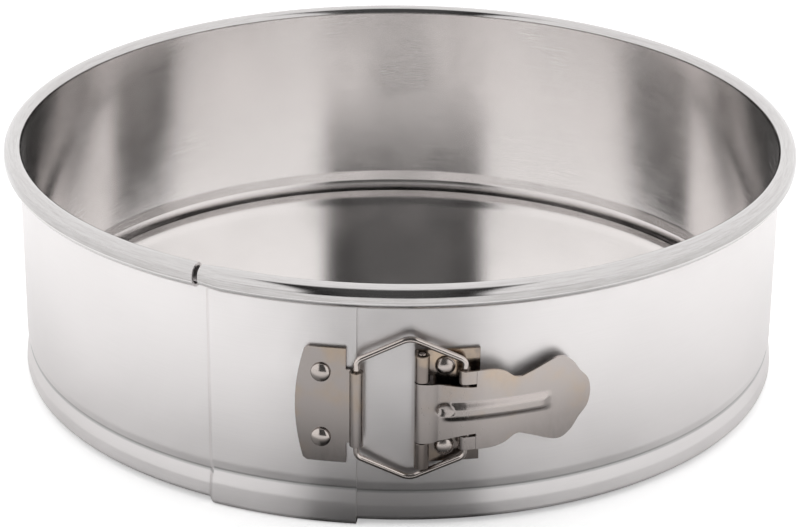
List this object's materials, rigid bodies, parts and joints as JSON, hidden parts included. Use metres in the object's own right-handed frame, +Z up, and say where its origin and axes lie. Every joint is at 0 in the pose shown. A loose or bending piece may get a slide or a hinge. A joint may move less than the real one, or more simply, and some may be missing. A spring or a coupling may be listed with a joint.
{
  "type": "springform pan",
  "caption": "Round springform cake pan with a flat loose base and an over-centre wire clasp on its overlapping side band.",
  "frame": {"origin": "on the axis of the round wall, level with the surface that the pan stands on", "axes": "+Z up, through the open top; -Y to the front, where the clasp is; +X to the right seen from the front"},
  "size_m": [0.2496, 0.2511, 0.0762],
  "materials": {
    "band_aluminium": "satin, brushed round the pan",
    "base_aluminium": "bright rolled",
    "clasp_steel": "nickel plated, worn",
    "rivet_steel": "nickel plated",
    "wire_steel": "bright drawn wire"
  },
  "bodies": {
    "band_back": {"band_back": "band_aluminium"},
    "band_left_rear": {"band_left_rear": "band_aluminium"},
    "band_left_front": {"band_left_front": "band_aluminium", "keeper_plate": "clasp_steel", "keeper_rivet_upper": "rivet_steel", "keeper_rivet_lower": "rivet_steel"},
    "band_right_rear": {"band_right_rear": "band_aluminium"},
    "band_right_front": {"band_right_front": "band_aluminium", "bracket_plate": "clasp_steel", "bracket_rivet_upper": "rivet_steel", "bracket_rivet_lower": "rivet_steel", "hinge_pin": "wire_steel"},
    "lever": {"clasp_lever": "clasp_steel"},
    "bail": {"bail_wire": "wire_steel"},
    "base": {"base_disc": "base_aluminium"}
  },
  "joints": [
    {"name": "lever_swing", "type": "hinge", "parent": "band_right_front", "child": "lever", "pos_m": [0.0064, -0.12413, 0.0385], "axis": [0, 0, -1], "range_deg": [0, 165]},
    {"name": "bail_turn", "type": "hinge", "parent": "lever", "child": "bail", "pos_m": [0.0186, -0.12219, 0.0385], "axis": [0, 0, 1], "range_deg": [0, 146]},
    {"name": "left_rear_flex", "type": "hinge", "parent": "band_back", "child": "band_left_rear", "pos_m": [-0.0703, 0.09676, 0.0385], "axis": [0, 0, -1], "range_deg": [0, 2.1]},
    {"name": "left_front_flex", "type": "hinge", "parent": "band_left_rear", "child": "band_left_front", "pos_m": [-0.11375, -0.03696, 0.0385], "axis": [0, 0, -1], "range_deg": [0, 2.1]},
    {"name": "right_rear_flex", "type": "hinge", "parent": "band_back", "child": "band_right_rear", "pos_m": [0.0703, 0.09676, 0.0385], "axis": [0, 0, 1], "range_deg": [0, 2.1]},
    {"name": "right_front_flex", "type": "hinge", "parent": "band_right_rear", "child": "band_right_front", "pos_m": [0.11375, -0.03696, 0.0385], "axis": [0, 0, 1], "range_deg": [0, 2.1]},
    {"name": "base_lift", "type": "slide", "parent": "band_back", "child": "base", "axis": [0, 0, 1], "range_m": [0, 0.085]}
  ],
  "couplings": [
    {"joint": "bail_turn", "follows": "lever_swing", "ratio": 0.88206},
    {"joint": "left_rear_flex", "follows": "lever_swing", "ratio": 0.012286},
    {"joint": "left_front_flex", "follows": "lever_swing", "ratio": 0.012286},
    {"joint": "right_rear_flex", "follows": "lever_swing", "ratio": 0.012286},
    {"joint": "right_front_flex", "follows": "lever_swing", "ratio": 0.012286}
  ]
}
